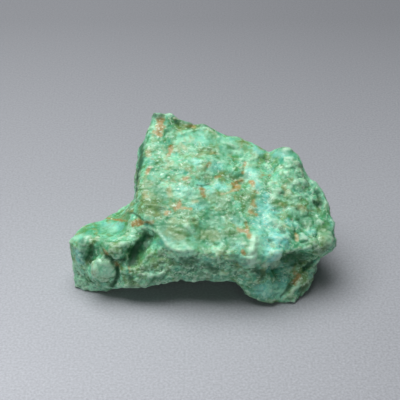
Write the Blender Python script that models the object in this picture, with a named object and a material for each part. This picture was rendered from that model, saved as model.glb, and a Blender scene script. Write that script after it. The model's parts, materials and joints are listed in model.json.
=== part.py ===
"""A raw turquoise nugget: one solid piece of rough stone, 45 mm long, resting on flat spots.

The stone is a thick slab whose broad face leans back, with a square lobe at its lower left, a
nodular right end and a foot at its lower right. An arch runs under its front.
Points are in millimetres, +X to the right, +Y to the back, +Z up, with the surface it rests on at z = 0.
"""

import bmesh
import bpy
import numpy as np
from mathutils import Matrix, Vector, noise

MM = 0.001

NAME = "turquoise_nugget"
CELL = 0.5  # edge of the cells that the blocks are fused in
SOFTENING = 4  # passes that round the fractured edges
TRIANGLES = 9400
SHORTEST_EDGE = 0.03

# Blocks bounded by fractured faces, each given by the corners of its hull.
SLAB = [
    # the broad face, from its top edge down its left edge to the lip
    (-8.6, 13.2, 23.0), (-4.2, 13.6, 21.5), (1.2, 13.5, 21.2), (6.6, 12.7, 19.4), (11.4, 10.9, 17.6),
    (-8.6, 12.0, 20.7), (-9.8, 7.4, 18.9), (-10.3, 3.1, 17.0), (-10.6, -0.3, 15.4),
    (-8.6, -6.8, 12.6), (-2.0, -9.4, 11.3), (3.0, -10.2, 10.6), (8.5, -9.9, 9.6), (13.0, -4.0, 12.6),
    # the narrow left face
    (-9.3, 13.0, 19.4), (-11.1, 11.4, 17.2), (-11.6, 9.1, 13.2), (-11.7, 7.0, 9.4),
    # the front wall and the underside
    (-9.0, -9.3, 4.8), (-1.0, -10.2, 4.8), (3.6, -10.4, 5.2), (14.0, -3.0, 1.6),
    (14.6, 8.0, -0.5), (9.0, 11.6, 0.2), (3.0, 12.6, 1.6), (-8.6, 11.0, -0.6), (-11.0, 6.6, 0.8),
    (-8.2, 13.0, 0.8),
    # the back
    (-8.6, 15.6, 15.0), (-8.0, 16.0, 6.0), (2.0, 16.6, 10.6), (10.4, 14.4, 9.6), (8.6, 14.0, 3.4),
]
TOP_LUMP = [
    (-9.2, 13.2, 24.8), (-6.8, 13.4, 24.7), (-5.5, 13.7, 24.1), (-5.0, 13.7, 22.2), (-1.4, 13.6, 21.8),
    (-8.7, 10.4, 21.2), (-5.6, 10.8, 21.6), (-8.8, 15.0, 18.0), (-4.0, 15.4, 18.0), (-6.4, 12.0, 19.0),
]
RIGHT_END = [
    (17.3, 6.6, 16.0), (20.1, 4.8, 13.5), (21.6, 2.8, 12.0), (22.4, 0.9, 11.1), (22.7, -1.0, 10.2),
    (22.3, -3.4, 8.2), (21.4, -4.8, 6.9), (19.4, -6.3, 7.8), (16.8, -7.8, 9.6), (12.6, -9.4, 10.2),
    (8.6, -9.8, 9.6), (7.6, -5.0, 12.2), (8.6, 3.0, 15.4), (11.0, 8.0, 16.6), (15.0, 7.6, 16.6),
    (20.4, 4.0, 5.0), (15.0, 11.4, 4.0), (21.4, -1.4, 5.2), (10.0, -7.0, 4.0), (14.6, 12.0, 11.0),
    (17.0, 7.0, 0.6), (19.2, 3.0, 0.4), (19.4, 6.2, 8.0),
]
TOP_KNOB = [
    (11.8, 9.8, 17.8), (13.0, 9.5, 18.7), (15.2, 9.0, 18.9), (16.6, 8.2, 18.1), (17.5, 7.2, 17.0),
    (17.0, 5.4, 15.6), (15.0, 4.0, 16.0), (12.6, 4.8, 16.4), (11.6, 7.4, 17.0), (13.0, 12.4, 15.4),
    (16.2, 10.4, 15.0), (14.6, 6.2, 17.8), (12.0, 8.0, 12.0), (16.6, 6.0, 12.0),
]
BACK_FILL = [
    (9.0, 14.4, 9.4), (14.8, 12.2, 11.0), (12.6, 12.6, 15.2), (15.2, 11.4, 4.0), (8.6, 13.8, 3.6),
    (16.4, 10.2, 14.6), (17.6, 9.0, 8.0), (10.6, 12.4, 16.4), (12.0, 8.0, 8.0),
]
SHELF = [
    (-16.6, 3.0, 8.2), (-13.7, 4.8, 8.6), (-11.3, 6.6, 9.4), (-9.0, 7.6, 10.2), (-13.2, -3.4, 9.7),
    (-8.0, -6.0, 12.0), (-17.6, 0.0, 9.0), (-16.0, 4.2, 1.8), (-10.0, 9.2, 1.0), (-14.0, -6.0, 1.6),
    (-8.0, -6.0, 1.6),
]
BLEND = [  # fills the corner between the broad face and the shelf
    (-11.2, 0.8, 14.7), (-12.3, -2.4, 11.9), (-4.4, -5.6, 13.0), (-8.6, -6.4, 12.4), (-12.2, -5.4, 10.9),
    (-15.0, -0.8, 9.6), (-13.4, 3.8, 9.0),
    (-8.0, 2.0, 5.0), (-12.0, 0.0, 5.0),
]
LOBE = [
    (-21.9, -5.6, -0.6), (-21.5, -5.6, 4.4), (-22.5, -4.7, 8.1), (-23.3, -3.1, 9.4), (-22.3, -1.6, 9.3),
    (-20.8, -0.6, 8.9), (-19.0, 1.9, 8.5), (-17.2, 2.7, 8.4), (-21.2, -5.6, 8.7), (-17.0, -6.0, 9.7),
    (-12.6, -7.6, 11.1), (-9.6, -7.4, 11.7), (-17.6, -5.9, -0.4), (-14.8, -8.7, 2.2), (-12.6, -10.0, 3.2),
    (-8.2, -9.9, 5.0), (-5.4, -9.9, 5.2), (-20.8, -1.0, 0.8), (-17.0, -1.0, -0.7), (-13.4, 0.6, -0.7),
    (-16.0, 3.6, 0.8),
    (-10.0, 3.0, 0.8), (-9.0, 0.0, 9.6), (-6.0, -8.6, 9.6), (-20.4, 0.8, 5.0),
]
TEAL_FOOT = [
    (4.8, -9.8, 5.3), (7.0, -9.8, 4.1), (8.8, -9.8, 0.6), (10.6, -10.5, 0.0), (13.4, -10.8, -0.4),
    (6.8, -9.8, 8.8), (9.0, -9.4, 7.0), (12.6, -8.4, 6.2), (15.4, -5.6, 5.2), (12.0, 0.0, 0.6),
    (5.8, -5.2, 7.8), (15.0, -4.0, 1.0), (6.4, -3.0, 3.2),
]
GREEN_FOOT = [
    (12.6, -11.2, -0.6), (15.2, -11.0, -0.6), (14.2, -9.8, 3.0), (15.0, -9.3, 0.0), (15.2, -8.0, 3.2),
    (18.0, -5.3, 1.4), (19.7, -3.8, 1.8), (19.7, -3.8, 5.6), (19.4, 2.0, 0.6), (12.0, -6.0, 3.0),
    (14.0, 2.0, 0.0), (18.0, 2.0, 6.0), (14.0, -4.0, 6.0),
]
BLOCKS = {
    "slab": SLAB, "top_lump": TOP_LUMP, "right_end": RIGHT_END, "top_knob": TOP_KNOB,
    "back_fill": BACK_FILL, "shelf": SHELF, "blend": BLEND, "lobe": LOBE,
    "teal_foot": TEAL_FOOT, "green_foot": GREEN_FOOT,
}

# Rounded lumps: centre and the three radii.
LUMPS = {
    "right_nodule": ((20.4, -4.0, 8.1), (1.9, 2.0, 2.1)),
    "small_nodule": ((17.8, -4.6, 9.6), (1.3, 1.3, 1.3)),
    "knuckle": ((-16.8, -6.2, 4.6), (2.6, 2.7, 2.6)),
}

# Moves of the fused skin along its own normal: the line they follow, half width and height.
# A height below zero is a dent or a groove, and one above zero is a swelling or a ridge.
MOVES = {
    "under_lip": ([(13.2, -7.4, 6.8), (15.5, -7.1, 7.2), (17.4, -6.8, 7.4)], 2.8, -2.2),
    "left_hollow": ([(-17.8, -5.8, 10.0), (-18.2, -6.7, 8.8), (-18.8, -7.0, 7.3)], 1.8, -2.0),
    "cleft_top": (
        [(-8.8, -6.0, 12.0), (-9.8, -7.1, 11.2), (-10.7, -7.9, 10.2), (-11.4, -8.3, 8.8)],
        2.1, -2.6,
    ),
    "cleft_foot": ([(-11.6, -8.0, 8.2), (-13.0, -7.8, 7.8)], 1.6, -1.6),
    "knuckle_crack": ([(-14.4, -8.1, 7.4), (-13.7, -8.4, 5.9), (-14.1, -8.7, 3.8)], 1.1, -1.6),
    "foot_crack": (
        [(13.5, -9.1, 2.2), (15.0, -8.0, 3.7), (16.9, -6.6, 4.9), (18.9, -5.7, 5.8)],
        1.1, -1.5,
    ),
    "foot_notch": ([(16.6, -8.8, 1.2)], 1.6, -0.5),
    "green_ridge": ([(14.9, -9.6, 1.0), (16.8, -7.4, 2.8), (18.8, -4.2, 3.6)], 1.3, 0.5),
    "front_lip": (
        [
            (-7.6, -5.9, 12.6), (-6.3, -7.0, 11.9), (-5.3, -8.1, 11.0), (-3.9, -8.9, 10.8),
            (-1.6, -9.4, 11.0),
        ],
        1.5, 0.5,
    ),
    "lip_dip": ([(-0.8, -9.8, 10.4)], 1.4, -0.6),
    "front_wall": ([(-3.6, -9.6, 7.8), (0.5, -10.1, 8.2), (4.6, -10.2, 7.8)], 2.2, -0.6),
    "arch_edge": ([(1.4, -10.2, 4.8)], 1.8, -0.5),
    "blue_nose": ([(8.1, -8.9, 11.0), (8.1, -10.0, 9.3)], 2.6, 0.6),
    "face_hollow": ([(4.2, 3.2, 16.6), (7.0, 3.6, 16.2)], 2.2, -0.7),
    "face_valley": ([(11.4, 7.4, 16.6), (11.0, 4.0, 15.6), (10.0, 1.0, 14.6)], 2.4, -0.7),
    "face_swell": ([(-2.6, 4.6, 17.0)], 5.4, 0.4),
    "upper_left_lump": ([(-7.4, 10.6, 21.6)], 2.6, 0.4),
    "top_groove": ([(-3.8, 12.4, 22.4), (0.4, 12.2, 21.0)], 1.1, -0.5),
    "top_step": ([(-4.0, 13.6, 22.0)], 1.8, -0.7),
    "top_dent": ([(3.6, 13.2, 20.6)], 2.8, -1.0),
    "arch": ([(-6.0, 0.0, 1.4), (5.0, 0.0, 1.8)], 5.4, -1.6),
    "under_gap": ([(0.0, 8.6, 0.0), (5.0, 8.6, 0.0)], 6.4, -1.5),
    "right_gap": ([(18.6, 0.0, 0.4), (20.0, 3.0, 2.0)], 3.0, -1.2),
    "back_hollow": ([(-4.0, 16.4, 10.0), (3.0, 16.0, 6.0)], 4.0, -1.4),
    "back_ledge": ([(-9.0, 15.0, 6.0), (0.0, 15.6, 8.4), (9.0, 14.4, 7.6)], 1.8, 0.8),
    "back_low_hollow": ([(0.0, 14.0, 2.0), (6.0, 13.0, 1.6)], 3.4, -1.5),
    "lobe_side": ([(-22.0, -5.1, 6.0)], 2.6, -0.9),
    "lobe_back": ([(-14.0, 5.0, 5.0)], 3.0, -0.9),
    "corner_notch": ([(-10.8, 11.4, 8.0), (-9.0, 15.0, 10.0)], 2.2, -0.9),
}

# Roughness of the whole skin: the size of its swells in millimetres, and their height.
SWELL_SIZE, SWELL_HEIGHT = 7.0, 0.75
KNOB_SIZE, KNOB_HEIGHT = 3.4, 1.1
CHIP_SIZE, CHIP_HEIGHT = 2.2, 0.36
NODULAR_FROM, NODULAR_TO = 5.0, 13.0  # x over which the skin turns from splintery to nodular


def mesh_object(name, mesh):
    obj = bpy.data.objects.new(name, mesh)
    bpy.context.scene.collection.objects.link(obj)
    return obj


def to_object(name, shape):
    mesh = bpy.data.meshes.new(name)
    shape.to_mesh(mesh)
    shape.free()
    return mesh_object(name, mesh)


def hull_block(name, corners):
    """A block of stone with flat fractured faces through the outer corners."""
    shape = bmesh.new()
    for corner in corners:
        shape.verts.new(Vector(corner) * MM)
    found = bmesh.ops.convex_hull(shape, input=shape.verts)
    inside = [v for v in found["geom_interior"] if isinstance(v, bmesh.types.BMVert)]
    bmesh.ops.delete(shape, geom=inside, context="VERTS")
    bmesh.ops.recalc_face_normals(shape, faces=shape.faces)
    return to_object(name, shape)


def round_lump(name, centre, radii):
    """A nodule, part of which stands proud of the blocks."""
    shape = bmesh.new()
    bmesh.ops.create_icosphere(shape, subdivisions=4, radius=1.0)
    size = Matrix.Diagonal((*(r * MM for r in radii), 1.0))
    bmesh.ops.transform(shape, matrix=Matrix.Translation(Vector(centre) * MM) @ size, verts=shape.verts)
    return to_object(name, shape)


def join(objects, name):
    shape = bmesh.new()
    for obj in objects:
        shape.from_mesh(obj.data)
        bpy.data.objects.remove(obj)
    return to_object(name, shape)


def bake(obj):
    """Replaces the object's mesh by what its modifiers make of it."""
    graph = bpy.context.evaluated_depsgraph_get()
    graph.update()
    made = bpy.data.meshes.new_from_object(obj.evaluated_get(graph))
    obj.modifiers.clear()
    obj.data = made


def fuse(obj, softening):
    """Makes one closed skin of the overlapping blocks, and rounds its edges a little."""
    skin = obj.modifiers.new("fuse", "REMESH")
    skin.mode = "VOXEL"
    skin.voxel_size = CELL * MM
    soft = obj.modifiers.new("soften", "SMOOTH")
    soft.factor = 0.5
    soft.iterations = softening
    bake(obj)


def skin_of(obj):
    """Points and outward normals of the mesh, in millimetres."""
    mesh = obj.data
    points = np.empty(len(mesh.vertices) * 3, np.float32)
    normals = np.empty(len(mesh.vertices) * 3, np.float32)
    mesh.vertices.foreach_get("co", points)
    mesh.vertices.foreach_get("normal", normals)
    return points.reshape(-1, 3).astype(float) / MM, normals.reshape(-1, 3).astype(float)


def set_points(obj, points):
    obj.data.vertices.foreach_set("co", (points * MM).astype(np.float32).ravel())
    obj.data.update()


def distance_to_line(points, line):
    """How far each point is from a line through the given points."""
    line = [np.array(p, float) for p in line]
    if len(line) == 1:
        return np.linalg.norm(points - line[0], axis=1)
    nearest = np.full(len(points), np.inf)
    for start, end in zip(line, line[1:]):
        along = end - start
        share = np.clip((points - start) @ along / (along @ along), 0.0, 1.0)
        nearest = np.minimum(nearest, np.linalg.norm(points - start - share[:, None] * along, axis=1))
    return nearest


def ramp(values, low, high):
    share = np.clip((values - low) / (high - low), 0.0, 1.0)
    return share * share * (3.0 - 2.0 * share)


def sculpt(obj, moves):
    for line, width, height in moves.values():
        points, normals = skin_of(obj)
        fall = 1.0 - ramp(distance_to_line(points, line), 0.0, width)
        set_points(obj, points + normals * (height * fall)[:, None])


def roughen(obj):
    """Swells all over, splintery chips on the broken faces and rounded knobs at the right end."""
    points, normals = skin_of(obj)
    nodular = ramp(points[:, 0], NODULAR_FROM, NODULAR_TO)
    height = np.empty(len(points))
    for i, point in enumerate(points):
        place = Vector(point)
        swell = noise.fractal(place / SWELL_SIZE, 1.0, 2.0, 2)
        chip = noise.ridged_multi_fractal(place / CHIP_SIZE, 1.0, 2.0, 2, 1.0, 1.0) - 1.0
        knob = 0.5 - noise.voronoi(place / KNOB_SIZE)[0][0]
        share = nodular[i]
        height[i] = (
            SWELL_HEIGHT * swell
            + CHIP_HEIGHT * chip * (1.0 - 0.7 * share)
            + KNOB_HEIGHT * knob * (0.35 + 0.65 * share)
        )
    set_points(obj, points + normals * height[:, None])


def stand_flat(obj):
    """Cuts the stone off flat at z = 0, so that it rests on a few flat spots."""
    shape = bmesh.new()
    shape.from_mesh(obj.data)
    cut = bmesh.ops.bisect_plane(
        shape, geom=[*shape.verts, *shape.edges, *shape.faces], dist=1e-7,
        plane_co=(0, 0, 0), plane_no=(0, 0, -1), clear_outer=True,
    )
    rim = [e for e in cut["geom_cut"] if isinstance(e, bmesh.types.BMEdge)]
    bmesh.ops.holes_fill(shape, edges=rim, sides=0)
    bmesh.ops.remove_doubles(shape, verts=shape.verts, dist=SHORTEST_EDGE * MM)
    bmesh.ops.triangulate(shape, faces=shape.faces)
    shape.to_mesh(obj.data)
    shape.free()


def thin_out(obj, triangles):
    fewer = obj.modifiers.new("thin_out", "DECIMATE")
    fewer.ratio = triangles / sum(len(face.vertices) - 2 for face in obj.data.polygons)
    bake(obj)


def centre_over_origin(obj):
    """Puts the middle of the stone's footprint box at the origin."""
    points, _ = skin_of(obj)
    middle = (points.min(axis=0) + points.max(axis=0)) / 2.0
    middle[2] = points[:, 2].min()
    set_points(obj, points - middle)


def stone_material():
    made = bpy.data.materials.new("rough_turquoise")
    made.use_nodes = True
    shader = made.node_tree.nodes["Principled BSDF"]
    shader.inputs["Base Color"].default_value = (0.16, 0.46, 0.33, 1.0)
    shader.inputs["Roughness"].default_value = 0.45
    shader.inputs["Metallic"].default_value = 0.0
    return made


def clear_scene():
    for obj in list(bpy.data.objects):
        bpy.data.objects.remove(obj)


def main():
    clear_scene()
    blocks = [hull_block(name, corners) for name, corners in BLOCKS.items()]
    lumps = [round_lump(name, *place) for name, place in LUMPS.items()]
    stone = join(blocks + lumps, NAME)
    fuse(stone, SOFTENING)
    sculpt(stone, MOVES)
    fuse(stone, 1)
    roughen(stone)
    fuse(stone, 2)
    thin_out(stone, TRIANGLES)
    stand_flat(stone)
    centre_over_origin(stone)
    stone.data.materials.append(stone_material())
    stone.data.polygons.foreach_set("use_smooth", [True] * len(stone.data.polygons))


main()
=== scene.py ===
"""Looks of a raw turquoise nugget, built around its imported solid.

The file is laid out as an add-on: the settings hold the sizes and colours, and there is one
operator for the stone and one for the stage. Lengths are in millimetres unless a name says metres,
and pixels are those of the 400 x 400 photograph.
"""

import json
import math

import bpy
import numpy as np
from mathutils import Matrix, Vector, noise
from mathutils.bvhtree import BVHTree

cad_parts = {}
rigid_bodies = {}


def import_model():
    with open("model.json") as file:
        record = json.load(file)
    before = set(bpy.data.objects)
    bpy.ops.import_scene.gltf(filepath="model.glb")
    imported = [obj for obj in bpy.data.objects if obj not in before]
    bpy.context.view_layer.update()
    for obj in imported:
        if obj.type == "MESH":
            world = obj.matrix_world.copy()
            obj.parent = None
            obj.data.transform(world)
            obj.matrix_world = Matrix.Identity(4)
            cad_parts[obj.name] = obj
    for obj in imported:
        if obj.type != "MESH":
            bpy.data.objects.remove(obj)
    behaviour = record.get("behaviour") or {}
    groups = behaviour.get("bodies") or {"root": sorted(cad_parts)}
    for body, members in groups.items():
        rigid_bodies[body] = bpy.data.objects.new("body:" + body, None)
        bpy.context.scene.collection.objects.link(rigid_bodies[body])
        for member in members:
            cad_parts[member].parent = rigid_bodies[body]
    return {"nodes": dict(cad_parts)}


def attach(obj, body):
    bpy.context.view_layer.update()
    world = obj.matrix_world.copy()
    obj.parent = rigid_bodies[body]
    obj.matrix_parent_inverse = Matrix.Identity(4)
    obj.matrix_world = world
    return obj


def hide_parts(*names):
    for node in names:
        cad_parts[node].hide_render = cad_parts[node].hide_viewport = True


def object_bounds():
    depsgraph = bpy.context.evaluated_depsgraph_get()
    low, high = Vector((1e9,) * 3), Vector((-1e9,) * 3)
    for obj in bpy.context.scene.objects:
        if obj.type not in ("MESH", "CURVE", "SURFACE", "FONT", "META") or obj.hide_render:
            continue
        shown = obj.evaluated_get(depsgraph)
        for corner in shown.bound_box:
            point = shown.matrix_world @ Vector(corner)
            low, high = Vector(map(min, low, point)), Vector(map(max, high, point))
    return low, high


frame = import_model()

bl_info = {
    "name": "Raw turquoise",
    "version": (1, 0, 0),
    "blender": (4, 5, 0),
    "location": "3D View > Sidebar > Raw turquoise",
    "description": "Builds a raw turquoise nugget on a pale studio floor",
    "category": "Object",
}

CAD_BOX = [list(corner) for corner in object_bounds()]
NODE = "turquoise_nugget"
MM = 0.001

# The photograph: where the camera stands and what it aims at.
PHOTO_SIZE = 400
LENS, SENSOR = 100.0, 36.0
CAMERA_AIM = Vector((-0.410, -3.014, 14.5))
CAMERA_DISTANCE = 185.0
CAMERA_HEIGHT_ANGLE = math.radians(36.0)
PIXELS_PER_MM = 6.0

# Relief seen in the photograph. Each mark holds a half width in pixels, a height or depth in
# millimetres, and the pixels that the mark runs through as x, y, x, y.
CRESTS = [
    (2.6, 0.16, (152, 119, 150, 125, 148, 131)), (1.8, 0.12, (172, 133, 176, 134, 181, 135)),
    (2.0, 0.22, (181, 134, 186, 132, 192, 131, 197, 129, 203, 128, 208, 128)),
    (2.6, 0.26, (209, 129, 213, 132, 217, 135, 221, 139, 225, 143, 231, 145, 236, 147)),
    (2.0, 0.24, (177, 141, 181, 141, 187, 142)), (2.0, 0.12, (147, 143, 149, 147, 148, 152)),
    (1.8, 0.14, (153, 151, 158, 150, 163, 149, 166, 150)), (1.6, 0.12, (150, 160, 155, 162, 160, 160)),
    (1.8, 0.14, (163, 171, 168, 174, 172, 176)), (1.8, 0.12, (172, 150, 175, 156, 173, 160)),
    (1.8, 0.12, (178, 150, 180, 155, 184, 158, 188, 156)), (2.2, 0.22, (213, 160, 219, 160, 225, 162)),
    (1.6, 0.12, (228, 157, 231, 155, 234, 153)),
    (1.8, 0.22, (231, 173, 235, 168, 239, 164, 242, 159, 245, 155, 248, 152)),
    (2.0, 0.14, (205, 158, 207, 163, 205, 167)), (1.8, 0.12, (193, 171, 197, 174, 196, 179)),
    (1.8, 0.14, (178, 178, 184, 176, 190, 177)), (1.8, 0.14, (217, 181, 221, 185, 226, 184)),
    (2.4, 0.16, (166, 188, 170, 187, 174, 188)), (2.2, 0.18, (176, 193, 182, 196, 190, 198, 194, 203)),
    (1.8, 0.14, (185, 186, 189, 190, 193, 195)), (2.6, 0.20, (248, 161, 252, 159, 257, 158)),
    (1.8, 0.20, (266, 166, 268, 161, 272, 160, 277, 161, 280, 165)),
    (2.0, 0.20, (283, 158, 288, 157, 292, 159, 294, 164)),
    (1.6, 0.16, (280, 162, 283, 166, 287, 168, 292, 166)), (1.6, 0.14, (267, 172, 273, 170, 277, 173)),
    (1.6, 0.16, (262, 180, 266, 183, 272, 182, 278, 181)), (2.2, 0.18, (272, 195, 277, 195, 281, 191)),
    (2.0, 0.16, (290, 180, 292, 186, 290, 193)), (2.2, 0.18, (300, 171, 303, 177, 304, 182)),
    (2.4, 0.20, (303, 196, 307, 194, 311, 197, 312, 201)), (1.6, 0.12, (252, 189, 256, 192, 261, 193)),
    (1.6, 0.14, (226, 200, 230, 204, 235, 203)), (1.8, 0.16, (245, 209, 250, 210, 255, 208)),
    (1.8, 0.14, (281, 205, 284, 210, 290, 213)), (1.8, 0.14, (294, 205, 300, 204, 306, 208)),
    (2.2, 0.14, (77, 243, 83, 246, 88, 245, 92, 240)),
    (1.8, 0.16, (108, 243, 112, 246, 117, 247, 122, 246)), (1.4, 0.16, (111, 255, 115, 259, 119, 258)),
    (1.6, 0.14, (121, 255, 126, 254, 130, 253)),
    (2.6, 0.22, (118, 239, 124, 236, 130, 233, 137, 230, 143, 228, 150, 228, 155, 230)),
    (2.6, 0.30, (157, 231, 161, 235, 164, 240, 167, 245, 171, 248, 176, 250, 182, 251, 190, 250)),
    (1.4, 0.22, (157, 256, 161, 254, 165, 254, 169, 257)),
    (2.4, 0.24, (92, 265, 97, 261, 103, 262, 108, 264, 113, 268)),
    (2.0, 0.18, (105, 275, 110, 276, 114, 273)), (1.8, 0.14, (77, 270, 82, 272, 88, 271)),
    (1.6, 0.12, (78, 279, 82, 281, 86, 284)),
    (2.6, 0.30, (140, 274, 146, 275, 152, 276, 158, 275, 163, 272, 166, 269)),
    (1.6, 0.16, (126, 281, 130, 282, 135, 280)), (1.6, 0.12, (149, 287, 155, 288, 161, 286)),
    (1.6, 0.14, (198, 218, 190, 218, 184, 217, 176, 216)),
    (1.4, 0.16, (165, 221, 167, 226, 172, 228, 176, 226)), (3.0, 0.18, (187, 223, 189, 228, 193, 233)),
    (1.6, 0.16, (170, 233, 175, 236, 180, 239)),
    (1.4, 0.20, (216, 233, 219, 229, 224, 230, 228, 233, 229, 228)),
    (1.4, 0.18, (216, 234, 219, 239, 224, 238)), (1.6, 0.22, (222, 212, 224, 218, 227, 224)),
    (1.4, 0.18, (224, 209, 228, 206, 232, 208, 235, 212)),
    (1.6, 0.16, (236, 209, 240, 213, 243, 217, 246, 221)),
    (1.6, 0.16, (213, 246, 218, 251, 223, 251, 226, 247)),
    (2.0, 0.18, (203, 249, 208, 251, 214, 253, 221, 254)), (1.4, 0.18, (232, 236, 236, 239, 238, 234)),
    (1.8, 0.16, (228, 254, 232, 257, 237, 256)), (1.4, 0.14, (209, 277, 213, 276, 218, 277)),
    (1.4, 0.12, (243, 270, 248, 268, 252, 267)), (2.8, 0.24, (267, 215, 271, 219, 275, 223, 279, 227)),
    (1.8, 0.14, (250, 217, 255, 219, 259, 222)), (2.0, 0.16, (261, 228, 266, 229, 271, 233)),
    (3.0, 0.24, (253, 236, 257, 241, 256, 247, 253, 253, 252, 259, 255, 264)),
    (1.6, 0.14, (265, 234, 268, 239, 266, 244)), (1.6, 0.14, (279, 209, 285, 213, 291, 216)),
    (1.6, 0.14, (283, 218, 287, 222, 292, 223)), (1.4, 0.18, (317, 215, 320, 221, 322, 227)),
    (1.4, 0.18, (325, 206, 327, 213, 326, 220)), (1.8, 0.14, (283, 275, 286, 279, 287, 284)),
    (1.4, 0.14, (273, 290, 277, 292, 281, 289)),
    (1.6, 0.14, (258, 299, 266, 302, 275, 304, 284, 305, 292, 305)),
    (2.4, 0.26, (290, 296, 293, 291, 296, 287, 299, 282)),
    (1.6, 0.18, (280, 259, 286, 254, 290, 249, 294, 246)), (6.5, 0.60, (255, 240, 253, 252, 251, 262)),
    (5.5, 0.60, (266, 264, 273, 265, 279, 257)),
]
GROOVES = [
    (2.0, 0.24, (149, 134, 154, 136, 159, 139, 164, 137, 167, 132)),
    (3.4, 0.40, (177, 123, 181, 127, 187, 128, 193, 127, 199, 125)),
    (3.2, 0.34, (199, 156, 202, 151, 206, 149, 211, 151, 217, 154)),
    (2.2, 0.20, (191, 160, 194, 165, 201, 165)), (2.4, 0.22, (169, 169, 174, 171, 181, 171)),
    (2.4, 0.22, (214, 178, 219, 176, 224, 176)), (3.0, 0.16, (227, 177, 233, 179, 239, 178, 243, 175)),
    (3.2, 0.34, (234, 187, 238, 184, 242, 182)), (1.8, 0.26, (245, 163, 244, 168, 243, 173)),
    (1.0, 0.18, (197, 185, 203, 186, 209, 184)), (2.8, 0.30, (261, 156, 266, 160, 272, 162)),
    (2.0, 0.20, (281, 165, 283, 172, 285, 178)), (3.0, 0.26, (313, 186, 318, 193, 320, 199)),
    (2.4, 0.30, (315, 203, 318, 206, 320, 203)), (0.8, 0.18, (128, 213, 133, 213, 138, 216, 143, 220)),
    (1.2, 0.16, (107, 218, 113, 219, 120, 220, 127, 221)),
    (3.6, 0.40, (86, 262, 90, 255, 92, 248, 95, 243)),
    (4.6, 0.70, (147, 238, 145, 240, 140, 244, 135, 249, 133, 256)),
    (1.8, 0.34, (100, 246, 103, 252, 107, 256, 112, 259, 118, 261, 125, 260)),
    (2.4, 0.50, (116, 265, 118, 270, 118, 277, 114, 283, 110, 288)),
    (1.8, 0.24, (128, 269, 129, 276, 131, 284)), (2.2, 0.24, (84, 286, 90, 285)),
    (2.2, 0.30, (182, 258, 189, 259, 196, 257, 199, 253)), (2.2, 0.26, (182, 265, 188, 262, 195, 265)),
    (2.2, 0.24, (142, 270, 148, 271, 154, 269)), (2.2, 0.30, (167, 275, 162, 280, 153, 281)),
    (2.0, 0.20, (205, 262, 210, 266, 212, 271)), (2.0, 0.20, (221, 258, 228, 262)),
    (2.4, 0.24, (235, 262, 241, 267)), (2.8, 0.34, (252, 272, 255, 269)), (2.0, 0.22, (262, 278, 264, 272)),
    (2.6, 0.26, (271, 266, 278, 270, 284, 266)),
    (2.4, 0.50, (321, 256, 314, 262, 308, 267, 303, 272, 297, 277, 292, 283, 288, 290, 282, 296)),
    (1.8, 0.26, (295, 231, 294, 237, 296, 242)), (2.4, 0.26, (280, 228, 284, 232)),
    (1.4, 0.22, (306, 235, 311, 238, 317, 236)), (1.4, 0.20, (297, 241, 303, 243, 309, 241)),
    (1.4, 0.20, (317, 231, 317, 238, 319, 245)), (1.6, 0.20, (303, 168, 306, 175, 311, 182)),
    (1.6, 0.18, (217, 222, 212, 220, 206, 217)),
    (2.0, 0.20, (160, 213, 168, 219, 176, 221, 186, 222, 196, 221)),
    (1.6, 0.18, (200, 230, 201, 236, 199, 241)), (1.6, 0.16, (229, 190, 236, 192, 243, 190)),
    (1.8, 0.18, (286, 188, 284, 194, 288, 200)), (1.6, 0.18, (263, 187, 267, 184, 269, 178)),
    (1.4, 0.16, (205, 143, 210, 145, 214, 144)), (1.6, 0.16, (157, 186, 162, 181, 162, 176)),
    (1.6, 0.16, (149, 190, 154, 197, 159, 202)),
]

# Rounded nodules: pixel, radius in pixels and height.
NODULES = [
    (325, 237, 9.0, 0.35), (312, 232, 5.5, 0.30), (302, 237, 5.5, 0.30), (287, 236, 5.0, 0.16),
    (308, 222, 5.0, 0.20), (298, 226, 5.0, 0.16), (320, 222, 4.0, 0.18), (304, 212, 5.0, 0.20),
    (292, 210, 4.5, 0.16), (277, 189, 6.0, 0.22), (272, 205, 5.0, 0.16), (288, 163, 6.0, 0.20),
    (272, 165, 5.0, 0.16), (298, 186, 6.0, 0.20), (309, 190, 5.0, 0.20), (284, 173, 5.0, 0.10),
    (103, 269, 12.0, 0.70), (230, 198, 4.0, 0.14), (200, 139, 9.0, 0.12), (222, 248, 5.0, 0.16),
    (258, 154, 4.5, 0.14), (188, 229, 6.0, 0.14), (275, 240, 7.0, 0.14), (83, 237, 9.0, 0.16),
    (299, 172, 5.0, 0.34), (303, 183, 5.0, 0.34), (296, 164, 4.0, 0.24),
]

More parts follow.
